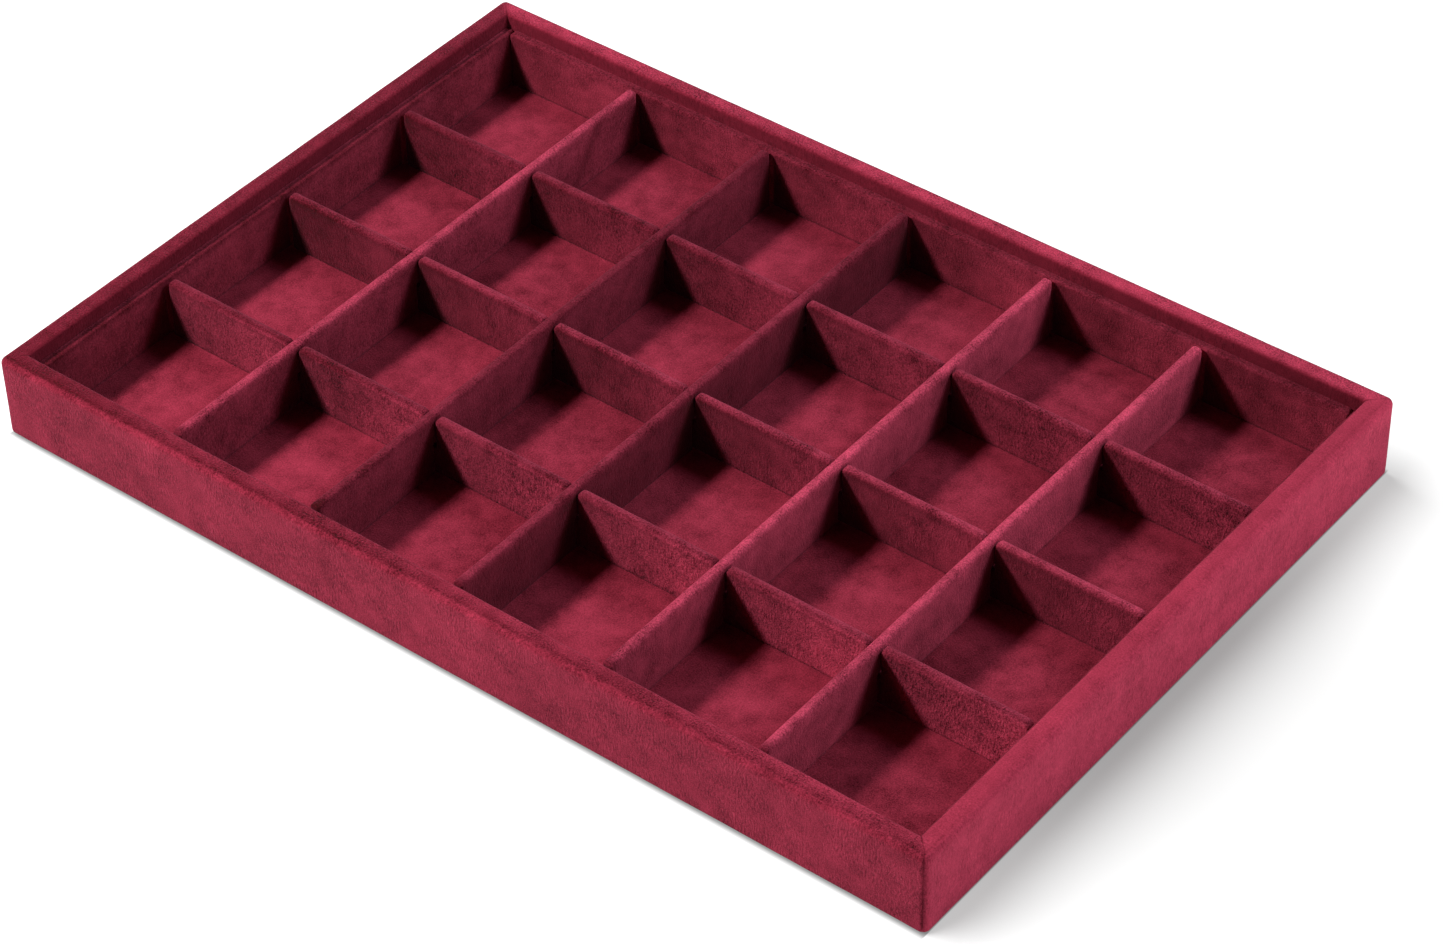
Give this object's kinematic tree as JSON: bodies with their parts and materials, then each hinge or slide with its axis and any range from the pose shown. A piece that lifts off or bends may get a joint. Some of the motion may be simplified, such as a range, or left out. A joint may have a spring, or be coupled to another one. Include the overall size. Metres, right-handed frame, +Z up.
{
  "type": "jewelry display tray",
  "caption": "Shallow velvet-covered tray with a soft rounded rim and a grid of square cells between halved dividers, for showing rings and small jewelry.",
  "frame": {"origin": "middle of the underside, on the surface that the tray stands on", "axes": "+X along the length, +Y across the width towards the back, +Z up out of the cells"},
  "size_m": [0.35, 0.24, 0.03],
  "materials": {
    "wrap_velvet": "wine-red short-pile velvet, stretched and glued",
    "lining_velvet": "wine-red short-pile velvet over card",
    "divider_velvet": "wine-red short-pile velvet over card",
    "floor_velvet": "wine-red short-pile velvet, laid flat and glued",
    "backing_felt": "dark thin felt",
    "fibreboard": "bare fibreboard"
  },
  "bodies": {
    "root": {"base_board": "fibreboard", "front_wall_board": "fibreboard", "back_wall_board": "fibreboard", "left_wall_board": "fibreboard", "right_wall_board": "fibreboard", "velvet_wrap": "wrap_velvet", "backing_sheet": "backing_felt", "floor_velvet": "floor_velvet", "front_lining": "lining_velvet", "back_lining": "lining_velvet", "left_lining": "lining_velvet", "right_lining": "lining_velvet", "cross_divider_1": "divider_velvet", "cross_divider_2": "divider_velvet", "cross_divider_3": "divider_velvet", "cross_divider_4": "divider_velvet", "cross_divider_5": "divider_velvet", "long_divider_1": "divider_velvet", "long_divider_2": "divider_velvet", "long_divider_3": "divider_velvet"}
  },
  "joints": []
}
